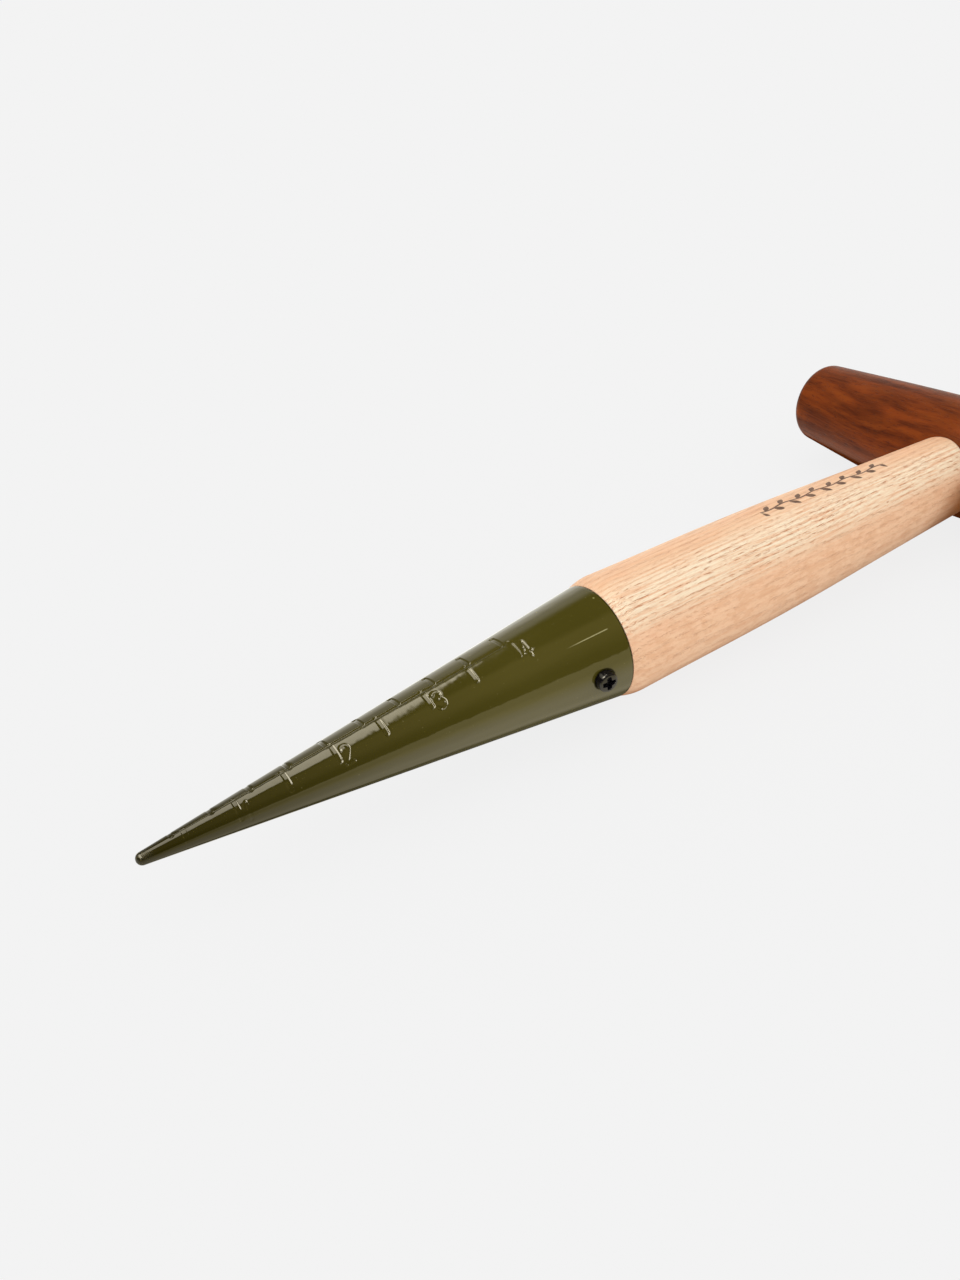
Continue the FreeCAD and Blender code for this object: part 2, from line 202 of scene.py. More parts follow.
def tube_mesh(name, rings):
    """Closed mesh from rings of points (rows x columns x 3, millimetres), with pole caps."""
    rows, columns, _ = rings.shape
    verts = [tuple(p) for p in (rings * MM).reshape(-1, 3)]
    faces = []
    for i in range(rows - 1):
        for j in range(columns):
            k = (j + 1) % columns
            faces.append((i * columns + j, i * columns + k, (i + 1) * columns + k, (i + 1) * columns + j))
    first_pole = len(verts)
    verts.append(tuple(rings[0].mean(axis=0) * MM))
    faces += [((j + 1) % columns, j, first_pole) for j in range(columns)]
    last_pole = len(verts)
    verts.append(tuple(rings[-1].mean(axis=0) * MM))
    base = (rows - 1) * columns
    faces += [(base + j, base + (j + 1) % columns, last_pole) for j in range(columns)]
    mesh = bpy.data.meshes.new(name)
    mesh.from_pydata(verts, [], faces)
    mesh.update()
    return mesh


def lathe(name, profile, columns, centre_x=None):
    """Closed lathe mesh. Points are (along, radius); along is X, or Y at centre_x."""
    profile = np.array(profile, float)
    angle = np.linspace(0.0, 2.0 * math.pi, columns, endpoint=False)
    along = np.repeat(profile[:, :1], columns, axis=1)
    radius = profile[:, 1:2]
    if centre_x is None:
        rings = np.stack([along, -radius * np.sin(angle), radius * np.cos(angle)], axis=-1)
    else:
        rings = np.stack(
            [centre_x + radius * np.sin(angle), along, radius * np.cos(angle)], axis=-1
        )
    return tube_mesh(name, rings)


def natural_spline(knots, xs):
    """Natural cubic spline through (x, y) knots, at the places xs."""
    x, y = np.array(knots, float).T
    n = len(x)
    h = np.diff(x)
    matrix = np.eye(n)
    side = np.zeros(n)
    for i in range(1, n - 1):
        matrix[i, i - 1] = h[i - 1]
        matrix[i, i] = 2.0 * (h[i - 1] + h[i])
        matrix[i, i + 1] = h[i]
        side[i] = 6.0 * ((y[i + 1] - y[i]) / h[i] - (y[i] - y[i - 1]) / h[i - 1])
    bend = np.linalg.solve(matrix, side)
    k = np.clip(np.searchsorted(x, xs) - 1, 0, n - 2)
    a = x[k + 1] - xs
    b = xs - x[k]
    return (
        (bend[k] * a**3 + bend[k + 1] * b**3) / (6.0 * h[k])
        + (y[k] / h[k] - bend[k] * h[k] / 6.0) * a
        + (y[k + 1] / h[k] - bend[k + 1] * h[k] / 6.0) * b
    )


def arc_points(centre, radius, first, last, count):
    """Points on a circle's arc between two angles in degrees."""
    angles = np.radians(np.linspace(first, last, count))
    return [(centre[0] + radius * math.cos(a), centre[1] + radius * math.sin(a)) for a in angles]


def soft_step(value, outside, inside):
    """Smooth rise from 0 at outside to 1 at inside."""
    t = np.clip((outside - value) / (outside - inside), 0.0, 1.0)
    return t * t * (3.0 - 2.0 * t)


# ---- the stamped marks -----------------------------------------------------------------
def segment_distance(px, py, start, end):
    """Distance from points to a straight stroke."""
    ax, ay = start
    dx, dy = end[0] - ax, end[1] - ay
    share = np.clip(((px - ax) * dx + (py - ay) * dy) / (dx * dx + dy * dy), 0.0, 1.0)
    return np.hypot(px - ax - share * dx, py - ay - share * dy)


def arc_distance(px, py, centre, radius, first, last):
    """Distance from points to an arc that runs from first to last degrees."""
    first, last = math.radians(first), math.radians(last)
    angle = np.arctan2(py - centre[1], px - centre[0])
    angle = first + np.mod(angle - first, 2.0 * math.pi)
    on_arc = np.abs(np.hypot(px - centre[0], py - centre[1]) - radius)
    ends = [
        np.hypot(px - centre[0] - radius * math.cos(a), py - centre[1] - radius * math.sin(a))
        for a in (first, last)
    ]
    return np.where(angle <= last, on_arc, np.minimum(ends[0], ends[1]))


def digit_distance(digit, px, py):
    """Distance from points to a plain digit drawn in its own box."""
    w, h = DIGIT_WIDTH, DIGIT_HEIGHT
    bow = w / 2.0
    if digit == 1:
        parts = [segment_distance(px, py, (bow, 0.0), (bow, h))]
        parts.append(segment_distance(px, py, (bow, h), (0.1 * w, 0.8 * h)))
    elif digit == 2:
        parts = [arc_distance(px, py, (bow, h - bow), bow, -20.0, 170.0)]
        parts.append(segment_distance(px, py, (0.95 * w, h - 0.75 * w), (0.0, 0.0)))
        parts.append(segment_distance(px, py, (0.0, 0.0), (w, 0.0)))
    elif digit == 3:
        parts = [arc_distance(px, py, (bow, 0.77 * h), 0.23 * h, -90.0, 150.0)]
        parts.append(arc_distance(px, py, (bow, 0.27 * h), 0.27 * h, -150.0, 90.0))
    else:
        stem, bar = 0.72 * w, 0.3 * h
        parts = [segment_distance(px, py, (stem, 0.0), (stem, h))]
        parts.append(segment_distance(px, py, (stem, h), (0.0, bar)))
        parts.append(segment_distance(px, py, (0.0, bar), (w, bar)))
    return np.minimum.reduce(parts)


def tick_mark(x, s, tick, length, depth, tilt):
    """Depth of one graduation: steep towards the point, easy towards the rim."""
    along = (x - tick) * (TICK_STEEP if x < tick else TICK_EASY)
    share = soft_step(segment_distance(along, s, (0.0, 0.0), (0.0, length)), TICK_REACH, TICK_FLAT)
    return depth * share * (1.0 - tilt * (x - tick))


def digit_mark(digit, left, rise):
    """Depth of a digit at a place in its own box: its strokes and their end pits."""
    lean = 1.0 - DIGIT_TILT * (left - DIGIT_WIDTH / 2.0)
    depth = DIGIT_DEPTH * lean * soft_step(digit_distance(digit, left, rise), DIGIT_REACH, DIGIT_FLAT)
    for across, up in DIGIT_PITS[digit]:
        away = np.hypot(left - across * DIGIT_WIDTH, rise - up * DIGIT_HEIGHT)
        depth = depth + PIT_DEPTH * soft_step(away, PIT_REACH, 0.0)
    return depth


def graduations(soft):
    """Every graduation as (place, length across, depth, tilt); soft scales the inch side."""
    inches = [(tick, TICK_LENGTH, soft * FAINT_DEPTH, 0.0) if k == FAINT_TICK
              else (tick, TICK_LENGTH, soft * TICK_DEPTH, TICK_TILT) for tick, k in INCH_TICKS]
    return inches + [(tick, -TICK_LENGTH, TICK_DEPTH, 0.0) for tick in CENTIMETRE_TICKS]


def scale_depth(x, s):
    """Depth of the stamped marks at x along the cone and s across from the scale line."""
    line = segment_distance(x, s, (CENTIMETRE_TICKS[0], 0.0), (CENTIMETRE_TICKS[-1], 0.0))
    slim = min(1.0, cone_radius(x) / FULL_SCALE_RADIUS)
    soft = math.sqrt(slim)
    depth = LINE_DEPTH * soft_step(line, LINE_REACH * slim, LINE_FLAT * slim)
    for tick, *shape in graduations(soft):
        if abs(x - tick) < TICK_REACH / TICK_EASY:
            depth = np.maximum(depth, tick_mark(x, s, tick, *shape))
    for tick, index in INCH_TICKS:
        if index % 2 == 0 and tick < x < tick + INCH / 4.0:
            digit = digit_mark(index // 2, x - tick - DIGIT_GAP, DIGIT_DROP + DIGIT_HEIGHT - s)
            depth = np.maximum(depth, soft * digit)
    return depth * slim


# ---- the cone's mesh -------------------------------------------------------------------
def crease_height(x, azimuth, radius):
    """Height of the faint crease that the rolled sheet leaves near the rim."""
    share = np.clip((x - CREASE_START) / (CREASE_END - CREASE_START), 0.0, 1.0)
    strength = min(1.0, 3.0 * share) * soft_step(x, CREASE_END, CREASE_END - 1.0)
    across = np.abs(azimuth - math.radians(CREASE_AZIMUTH)) * radius
    return CREASE_HEIGHT * strength * soft_step(across, CREASE_REACH, 0.0)


def cone_rows():
    """Places along the cone: close together at marks and at the screw, else wide."""
    last = CONE_LENGTH - RIM_EDGE
    rows = list(np.arange(POINT_RADIUS, last, WIDE_STEP))
    for tick in [t for t, _ in INCH_TICKS] + CENTIMETRE_TICKS:
        rows += list(np.arange(tick + TICK_MARGIN[0], tick + TICK_MARGIN[1], FINE_STEP))
    for tick, index in INCH_TICKS:
        if index % 2 == 0:
            rows += list(np.arange(tick + DIGIT_MARGIN[0], tick + DIGIT_MARGIN[1], FINE_STEP))
    rows += list(np.arange(SCREW_X - SEAT_REACH, SCREW_X + SEAT_REACH, SEAT_STEP))
    rows = sorted(r for r in rows if POINT_RADIUS <= r <= last - 0.1)
    kept = [rows[0]]
    for row in rows[1:]:
        if row - kept[-1] >= SMALLEST_STEP:
            kept.append(row)
    return np.array(kept)


def column_azimuths(radius):
    """Azimuths round one ring: fine steps over the scale and the screw, wide elsewhere.

    On thin rings the scale's columns are squeezed into their share of the way round."""
    fine = np.concatenate([np.arange(*band) for band in SCALE_BANDS])
    fit = min(1.0, SCALE_SHARE * 2.0 * math.pi * radius / (fine[-1] - fine[0]))
    scale = SCALE_AZIMUTH + fine * fit / radius
    rest_start = scale[-1]
    rest_end = scale[0] + 2.0 * math.pi
    wide = np.linspace(0.0, 1.0, PLAIN_COLUMNS)[1:-1]
    seat = np.linspace(*SEAT_SHARES, SEAT_COLUMNS)
    shares = np.sort(np.concatenate([wide, seat]))
    return np.concatenate([scale, rest_start + shares * (rest_end - rest_start)])


def ring_points(x, radius, azimuth):
    """Points at azimuths round the tool."""
    return np.stack([np.broadcast_to(x, azimuth.shape), -radius * np.sin(azimuth),
                     radius * np.cos(azimuth)], axis=-1)


def seat_axes():
    """Centre, outward normal and two tangents of the cone screw's seat."""
    radial = np.array([0.0, -math.sin(SCREW_AZIMUTH), math.cos(SCREW_AZIMUTH)])
    along = np.array([1.0, 0.0, 0.0])
    normal = math.cos(HALF_ANGLE) * radial - math.sin(HALF_ANGLE) * along
    tangent = math.cos(HALF_ANGLE) * along + math.sin(HALF_ANGLE) * radial
    centre = np.array([SCREW_X, 0.0, 0.0]) + (cone_radius(SCREW_X) - SEAT_DEPTH) * radial
    return centre, normal, tangent, np.cross(normal, tangent)


def press_seat(points):
    """Pulls the skin near the screw down onto a shallow round dimple."""
    centre, normal, tangent, across = seat_axes()
    offset = points - centre
    height = offset @ normal
    reach = np.hypot(offset @ tangent, offset @ across)
    near = (reach < SEAT_REACH) & (np.abs(height) < SEAT_WINDOW)
    pull = np.where(near, np.maximum(height, 0.0) * soft_step(reach, SEAT_REACH, SEAT_RADIUS), 0.0)
    return points - pull[..., None] * normal


def stamped_ring(x):
    """One ring of the cone's outside, with its marks, crease and screw seat."""
    radius = cone_radius(x)
    azimuth = column_azimuths(radius)
    s = (azimuth - SCALE_AZIMUTH) * radius
    wrapped = np.where(s > math.pi * radius, s - 2.0 * math.pi * radius, s)
    depth = scale_depth(x, wrapped) - crease_height(x, azimuth, radius)
    ring = ring_points(x + depth * math.sin(HALF_ANGLE),
                       radius - depth * math.cos(HALF_ANGLE), azimuth)
    return press_seat(ring)


def steel_cone():
    """The cone as one closed skin: rounded point, stamped outside, rim, hollow inside."""
    nose = arc_points((POINT_RADIUS, 0.0), POINT_RADIUS, POINT_FIRST_ANGLE,
                      90.0 + math.degrees(HALF_ANGLE), 14)
    rings = [ring_points(x, r, column_azimuths(max(r, SMALLEST_RING))) for x, r in nose]
    rings += [stamped_ring(x) for x in cone_rows()[1:]]
    edge_x = CONE_LENGTH - RIM_EDGE
    edge = arc_points((edge_x, cone_radius(edge_x) - RIM_EDGE), RIM_EDGE, RIM_FIRST_ANGLE, 0.0, 6)
    inner = RIM_RADIUS - ACROSS_WALL
    floor_radius = cone_radius(SOLID_POINT) - ACROSS_WALL
    inside = [(CONE_LENGTH, inner), (CONE_LENGTH - INNER_CHAMFER, inner - INNER_CHAMFER * TAPER),
              (0.5 * (CONE_LENGTH + SOLID_POINT), 0.5 * (inner + floor_radius)),
              (SOLID_POINT + INNER_CHAMFER, floor_radius), (SOLID_POINT, 0.9 * floor_radius)]
    last = column_azimuths(RIM_RADIUS)
    rings += [ring_points(x, r, last) for x, r in edge + inside]
    return link("steel_cone_skin", tube_mesh("steel_cone_skin", np.array(rings)))


# ---- wooden pieces ---------------------------------------------------------------------
def stem_profile(gap=0.0):
    """Outline (x, radius) of the turned stem, from the spigot's end to the tenon's end.

    A gap makes it wider, for the socket that it fits."""
    spigot_end = stem_low.x / MM
    tenon_end = stem_high.x / MM
    inside = GLUE_GAP + ACROSS_WALL
    shoulder = CONE_LENGTH + GLUE_GAP
    lip = RIM_RADIUS - SHOULDER_DROP + gap
    swell = STEM_SWELL + gap
    spigot_radius = cone_radius(spigot_end) - inside
    front = [(spigot_end, spigot_radius - SPIGOT_CHAMFER),
             (spigot_end + SPIGOT_CHAMFER_LENGTH, spigot_radius),
             (shoulder, cone_radius(shoulder) - inside), (shoulder, lip - SHOULDER_CHAMFER)]
    rounding = [(shoulder + share * SHOULDER_LENGTH, swell - (swell - lip) * (1.0 - share) ** 2)
                for share in np.linspace(0.0, 0.95, 20)]
    knots = [(shoulder + SHOULDER_LENGTH, swell)]
    knots += [(CONE_LENGTH + share * STEM_RUN, radius + gap) for share, radius in STEM_STATIONS]
    xs = np.linspace(knots[0][0], knots[-1][0], 120)
    body = list(zip(xs, natural_spline(knots, xs)))
    end_radius = TENON_RADIUS + gap
    back = [(tenon_end - TENON_CHAMFER, end_radius), (tenon_end, end_radius - TENON_CHAMFER)]
    return front + rounding + body + back


def ash_stem():
    """The turned ash stem."""
    return link("ash_stem_turned", lathe("ash_stem_turned", stem_profile(), STEM_COLUMNS))


def cut(piece, cutter):
    """Takes a cutter out of a piece for good."""
    modifier = piece.modifiers.new("cut", "BOOLEAN")
    modifier.operation = "DIFFERENCE"
    modifier.solver = "EXACT"
    modifier.object = cutter
    graph = bpy.context.evaluated_depsgraph_get()
    result = bpy.data.meshes.new_from_object(piece.evaluated_get(graph))
    piece.modifiers.clear()
    piece.data = result
    bpy.data.objects.remove(cutter)


def grip_profile():
    """Outline (y, radius) of the barrel grip: flat ends, rounded edges, swollen middle."""
    start = GRIP_HALF - GRIP_EDGE * (1.0 - math.sin(GRIP_SLOPE))
    half = [(GRIP_SWELL_HALF, GRIP_SWELL_RADIUS), (0.5 * GRIP_HALF, GRIP_QUARTER_RADIUS),
            (start, GRIP_END_RADIUS)]
    knots = [(-y, r) for y, r in reversed(half)] + [(0.0, GRIP_RADIUS)] + half
    ys = np.linspace(-start, start, 161)
    body = list(zip(ys, natural_spline(knots, ys)))
    centre_r = GRIP_END_RADIUS - GRIP_EDGE * math.cos(GRIP_SLOPE)
    first = 90.0 - math.degrees(GRIP_SLOPE + GRIP_EDGE_STEP)
    edge = arc_points((GRIP_HALF - GRIP_EDGE, centre_r), GRIP_EDGE, first, 0.0, 12)
    end = edge + [(GRIP_HALF, centre_r * share) for share in (0.75, 0.4, 0.1)]
    return [(-y, r) for y, r in reversed(end)] + body + end


def walnut_grip():
    """The turned walnut grip with its socket and the hole for its plug."""
    mesh = lathe("walnut_grip_turned", grip_profile(), GRIP_COLUMNS, GRIP_AXIS_X)
    grip = link("walnut_grip_turned", mesh)
    cut(grip, link("socket", lathe("socket", stem_profile(GLUE_GAP), SOCKET_COLUMNS)))
    floor_x = plug_low.x / MM - GLUE_GAP
    outside_x = plug_low.x / MM + BORE_LENGTH
    radius = plug_high.z / MM + BORE_CLEARANCE
    bore = [(floor_x, BORE_POLE), (floor_x, radius), (outside_x, radius), (outside_x, BORE_POLE)]
    cut(grip, link("bore", lathe("bore", bore, BORE_COLUMNS)))
    shade(grip.data)
    return grip


# ---- screws ----------------------------------------------------------------------------
def head_rings(head, recess, angle):
    """Rings of a screw's head with a cross recess whose arms narrow outwards."""
    reach, half, depth = recess
    rows = []
    for radius, height in head:
        u = radius * np.cos(angle)
        v = radius * np.sin(angle)
        out = np.maximum(np.abs(u), np.abs(v))
        room = half * (1.15 - ARM_NARROWING * out / reach)
        arm = np.maximum(np.minimum(np.abs(u), np.abs(v)) - room, 0.0)
        wall = np.clip(1.0 - arm / ARM_WALL, 0.0, 1.0) * np.clip((reach - out) / ARM_END, 0.0, 1.0)
        rows.append(np.stack([u, v, height - depth * wall], axis=-1))
    return rows


def thread_rings(shank_radius, shank, angle):
    """Rings of a screw's shank: a smooth neck, a helical thread and a tapering point."""
    length, smooth_neck = shank
    rows = []
    z = -smooth_neck
    while z > -length + 0.1:
        turn = np.mod(-z / THREAD_PITCH + angle / (2.0 * math.pi), 1.0)
        crest = 1.0 - np.abs(2.0 * turn - 1.0)
        fade = np.clip((-z - smooth_neck) / THREAD_PITCH, 0.0, 1.0)
        taper = np.clip((length + z) / THREAD_POINT, 0.0, 1.0)
        radius = (shank_radius - THREAD_RIDGE * fade * (1.0 - crest)) * taper + 0.02
        rows.append(np.stack([radius * np.cos(angle), radius * np.sin(angle),
                              np.full(len(angle), z)], axis=-1))
        z -= THREAD_PITCH / ROWS_PER_TURN
    return rows


def screw(name, head, recess, shank_radius, shank, axes):
    """Screw standing on its axes. head holds (radius, height) from its middle to the neck."""
    angle = np.linspace(0.0, 2.0 * math.pi, SCREW_COLUMNS, endpoint=False)
    rows = head_rings(head, recess, angle) + thread_rings(shank_radius, shank, angle)
    local = np.array(rows)[:, ::-1]
    centre, normal, tangent, across = axes
    rings = centre + local[..., :1] * tangent + local[..., 1:2] * across + local[..., 2:] * normal
    return link(name, tube_mesh(name, rings), SCREW_SMOOTH_ANGLE)


def cone_screw():
    """Black pan-head screw that pins the cone to the stem."""
    face_edge = HEAD_HEIGHT - HEAD_CROWN
    head = [(r, HEAD_HEIGHT - HEAD_CROWN * (r / FACE_RADIUS) ** 2)
            for r in np.linspace(MIDDLE_RADIUS, FACE_RADIUS, FACE_RINGS)]
    head += [(FACE_RADIUS + (HEAD_RADIUS - FACE_RADIUS) * math.sin(a),
              HEAD_SIDE + (face_edge - HEAD_SIDE) * math.cos(a))
             for a in np.linspace(ROUND_START, math.pi / 2.0, 9)]
    head += [(HEAD_RADIUS, HEAD_WAIST), (HEAD_RADIUS, HEAD_BEVEL), (HEAD_RADIUS - HEAD_BEVEL, 0.0),
             (SHANK_RADIUS + 0.02, 0.0), (SHANK_RADIUS, -0.05)]
    return screw("cone_screw_black", head, CROSS_RECESS, SHANK_RADIUS, SHANK, seat_axes())


def grip_screw():
    """Countersunk screw on the tool's axis, under the plug."""
    centre = np.array([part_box("grip_screw")[1].x / MM, 0.0, 0.0])
    head = [(r, 0.0) for r in np.linspace(MIDDLE_RADIUS, GRIP_HEAD_RADIUS - 0.05, FACE_RINGS)]
    head += [(GRIP_HEAD_RADIUS, -0.1), (GRIP_SHANK_RADIUS + 0.05, -GRIP_HEAD_DEPTH),
             (GRIP_SHANK_RADIUS, -GRIP_HEAD_DEPTH - 0.15)]
    axes = (centre, *np.eye(3))
    return screw("grip_screw_black", head, GRIP_CROSS_RECESS, GRIP_SHANK_RADIUS, GRIP_SHANK, axes)


# ---- materials -------------------------------------------------------------------------
DEGREES = 180.0 / math.pi


def linear(r, g, b):
    """Linear colour from 8-bit display values."""
    out = []
    for value in (r, g, b):
        c = value / 255.0
        out.append(c / 12.92 if c <= 0.04045 else ((c + 0.055) / 1.055) ** 2.4)
    return (*out, 1.0)


def palette(**colours):
    """Linear colours by name, from 8-bit display values."""
    return {name: linear(*colour) for name, colour in colours.items()}


# The crease colour is a painted highlight, the nib colour a painted glint on paint nibs, and the gap and
# rim colours are painted shade round the screw and along the rim.
OLIVE = palette(dark=(65, 59, 17), light=(71, 64, 19), point=(37, 32, 3), speck=(120, 112, 74),
                crease=(176, 168, 122), nib=(150, 146, 92), gap=(16, 14, 4), rim=(30, 24, 8))
# The pale colour is partly the wood's figure and partly a painted sheen; the colours under the grip and
# along the lowest side are painted shade.
ASH = palette(dark=(221, 175, 137), light=(226, 184, 147), upper=(224, 170, 130),
              lower=(234, 188, 153), mottle=(211, 157, 118), early=(208, 152, 116),
              streak=(226, 194, 158), pale=(231, 213, 184), fleck=(206, 146, 110),
              pore=(178, 116, 78), under_grip=(140, 78, 20), lowest=(168, 104, 62),
              burnt=(72, 45, 34))
# The under and lowest colours are painted shade on the underside; the end-grain colour is partly real end
# grain and partly painted shade at the ends.
WALNUT = palette(dark=(78, 29, 4), light=(118, 50, 7), dark_ring=(62, 22, 3),
                 light_ring=(122, 55, 8), flame=(136, 66, 15), light_fibre=(114, 53, 12),
                 dark_fibre=(58, 21, 4), eye=(54, 18, 3), pore=(44, 17, 3),
                 under=(70, 36, 14), lowest=(46, 20, 8), end_grain=(40, 16, 6))
BLACK_STEEL = palette(dark=(10, 8, 12), light=(20, 17, 23))

# The burnt sprig, in millimetres but for its azimuth and lean in degrees.
SPRIG_START, SPRIG_END = 184.5, 231.0
SPRIG_AZIMUTH, SPRIG_RADIUS, SPRIG_HALF = -1.0, 14.0, 3.6
LEAF_PITCH, LEAF_LENGTH, LEAF_HALF, LEAF_OUT, LEAF_LEAN = 5.8, 3.3, 0.80, 1.2, 38.0
TWIG_HALF, TWIG_WAVE = 0.30, 0.35
# Where the ash's rings have their middle and how wide each is, and the walnut's dark eye.
ASH_PITH_Y, ASH_PITH_Z, ASH_RING = 26.0, 31.0, 1.45
EYE_Y, EYE_Z, EYE_HALF_Y, EYE_HALF_Z, EYE_SWIRL = 31.0, 9.7, 16.0, 4.5, 5.0
WALNUT_RING = 4.6
PLUG_SEED = 40.0


class Graph:
    """Short way to write a material's node graph. A value is a node's output or a number."""

    def __init__(self, name):
        self.material = bpy.data.materials.new(name)
        self.material.use_nodes = True
        self.tree = self.material.node_tree
        self.shader = self.tree.nodes["Principled BSDF"]
        self.place = self.node("ShaderNodeTexCoord").outputs["Object"]

    def node(self, kind, **settings):
        """New node with its settings."""
        made = self.tree.nodes.new(kind)
        for key, value in settings.items():
            setattr(made, key, value)
        return made

    def feed(self, socket, value):
        """Links a socket to another node's output, or gives it a fixed value."""
        if isinstance(value, bpy.types.NodeSocket):
            self.tree.links.new(value, socket)
        else:
            socket.default_value = value

    def math(self, operation, *values):
        """One step of arithmetic."""
        made = self.node("ShaderNodeMath", operation=operation)
        for socket, value in zip(made.inputs, values):
            self.feed(socket, value)
        return made.outputs[0]

    def plus(self, first, *others):
        """Sum of the values."""
        for other in others:
            first = self.math("ADD", first, other)
        return first

    def minus(self, first, second):
        """Difference of two values."""
        return self.math("SUBTRACT", first, second)

    def times(self, first, *others):
        """Product of the values."""
        for other in others:
            first = self.math("MULTIPLY", first, other)
        return first

    def length(self, a, b):
        """Length of the step (a, b)."""
        return self.math("SQRT", self.plus(self.math("POWER", a, 2.0), self.math("POWER", b, 2.0)))

    def split(self, vector):
        """The three parts of a vector."""
        made = self.node("ShaderNodeSeparateXYZ")
        self.feed(made.inputs[0], vector)
        return made.outputs

    def join(self, x, y, z):
        """Vector from three parts."""
        made = self.node("ShaderNodeCombineXYZ")
        for socket, value in zip(made.inputs, (x, y, z)):
            self.feed(socket, value)
        return made.outputs[0]

    def noise(self, place, size, detail=2.0, roughness=0.5):
        """Noise whose features have a size in millimetres along each axis."""
        scaled = self.node("ShaderNodeVectorMath", operation="DIVIDE")
        self.feed(scaled.inputs[0], place)
        scaled.inputs[1].default_value = size
        made = self.node("ShaderNodeTexNoise")
        self.feed(made.inputs["Vector"], scaled.outputs[0])
        made.inputs["Scale"].default_value = 1.0
        made.inputs["Detail"].default_value = detail
        made.inputs["Roughness"].default_value = roughness
        return made.outputs[0]

    def range(self, value, low, high, to_low=0.0, to_high=1.0, kind="SMOOTHSTEP"):
        """Smooth change from to_low to to_high while the value goes from low to high."""
        made = self.node("ShaderNodeMapRange", interpolation_type=kind)
        for socket, item in zip(made.inputs, (value, low, high, to_low, to_high)):
            self.feed(socket, item)
        return made.outputs[0]

    def slope(self, value, low, high, to_low=0.0, to_high=1.0):
        """Straight change from to_low to to_high while the value goes from low to high."""
        return self.range(value, low, high, to_low, to_high, "LINEAR")

    def window(self, value, rise, fall):
        """1 inside a stretch and 0 outside, with a smooth rise and a smooth fall."""
        return self.times(self.range(value, *rise), self.range(value, *fall))

    def mix(self, share, a, b):
        """Colour a, with a share of colour b."""
        made = self.node("ShaderNodeMix", data_type="RGBA")
        self.feed(made.inputs[0], share)
        self.feed(made.inputs[6], a)
        self.feed(made.inputs[7], b)
        return made.outputs[2]

    def bump(self, height, distance):
        """Normal of a surface whose height changes by the distance in metres."""
        made = self.node("ShaderNodeBump")
        made.inputs["Strength"].default_value = 1.0
        made.inputs["Distance"].default_value = distance
        self.feed(made.inputs["Height"], height)
        return made.outputs[0]

    def set(self, **values):
        """Feeds the shader's inputs and returns the material."""
        for key, value in values.items():
            self.feed(self.shader.inputs[key.replace("_", " ")], value)
        return self.material


def in_millimetres(g):
    """The place on the object, in millimetres."""
    scaled = g.node("ShaderNodeVectorMath", operation="SCALE")
    g.feed(scaled.inputs[0], g.place)
    scaled.inputs["Scale"].default_value = 1.0 / MM
    return scaled.outputs[0]


def azimuth_of(g, y, z):
    """Azimuth in degrees from +Z towards -Y."""
    return g.times(g.math("ARCTAN2", g.times(y, -1.0), z), DEGREES)


def skin_distance(g, x, angle, spot_x, spot_azimuth):
    """Distance over the cone's skin, in millimetres, from a spot at x and azimuth."""
    side = g.times(g.minus(angle, spot_azimuth), cone_radius(spot_x) / DEGREES)
    return g.length(g.minus(x, spot_x), side)


# In the materials, x is in millimetres and angle is the azimuth in degrees. A share, a range
# and a window run from 0 to 1 unless other ends are given.
def enamel_colour(g, place, x, angle, cloud):
    """Olive, darker at the point, with specks, painted glints on paint nibs and a painted highlight along
    the crease.
    """
    body = g.mix(cloud, OLIVE["dark"], OLIVE["light"])
    base = g.mix(g.slope(x, 4.0, 96.0), OLIVE["point"], body)
    speck = g.range(g.noise(place, (0.9, 0.9, 0.9), 1.0), 0.74, 0.80)
    base = g.mix(g.times(speck, 0.25), base, OLIVE["speck"])
    # Painted highlight along the crease near the rim, where light catches it.
    across = g.math("ABSOLUTE", g.times(g.minus(angle, CREASE_AZIMUTH), RIM_RADIUS / DEGREES))
    crease_highlight = g.times(g.range(across, 0.20, 0.07), g.range(x, CREASE_START, CREASE_START + 6.0))
    crease_highlight = g.times(crease_highlight, g.range(x, CREASE_END, CREASE_END - 0.8, 0.0, 0.62))
    base = g.mix(crease_highlight, base, OLIVE["crease"])
    # Painted glints where light catches paint nibs.
    for nib_x, nib_azimuth, nib_radius in NIB_GLINTS:
        away = skin_distance(g, x, angle, nib_x, nib_azimuth)
        base = g.mix(g.range(away, nib_radius, 0.5 * nib_radius, 0.0, 0.7), base, OLIVE["nib"])
    return base


def olive_enamel():
    """Glossy olive powder coat with a faint orange peel; painted shade round the screw and along the rim,
    and dull gloss there and at the lower edge.
    """
    g = Graph("olive_enamel")
    place = in_millimetres(g)
    x, y, z = g.split(place)
    angle = azimuth_of(g, y, z)
    cloud = g.noise(place, (22.0, 9.0, 9.0), 3.0, 0.55)
    base = enamel_colour(g, place, x, angle, cloud)
    # Painted shade in a ring round the screw and along the rim.
    gap = g.range(skin_distance(g, x, angle, SCREW_X, math.degrees(SCREW_AZIMUTH)), 3.25, 2.9)
    base = g.mix(g.times(gap, 0.8), base, OLIVE["gap"])
    rim = g.range(x, CONE_LENGTH - 0.6, CONE_LENGTH - 0.2)
    base = g.mix(g.times(rim, 0.6), base, OLIVE["rim"])
    open_sky = g.minus(1.0, g.times(g.math("MAXIMUM", gap, rim), 0.9))
    open_sky = g.times(open_sky, g.range(angle, 139.0, 129.0, 0.10, 1.0))
    g.feed(g.shader.inputs["Specular IOR Level"], g.times(open_sky, 0.5))
    peel = g.noise(place, (2.6, 2.2, 2.2), 1.0)
    wave = g.noise(place, (9.0, 5.0, 5.0), 1.0)
    normal = g.bump(g.plus(g.times(peel, 0.40), wave), 0.00007)
    rough = g.plus(g.range(cloud, 0.3, 0.7, 0.06, 0.10), g.range(x, 5.0, 2.0, 0.0, 0.22))
    return g.set(Base_Color=base, Roughness=rough, IOR=1.55, Normal=normal)


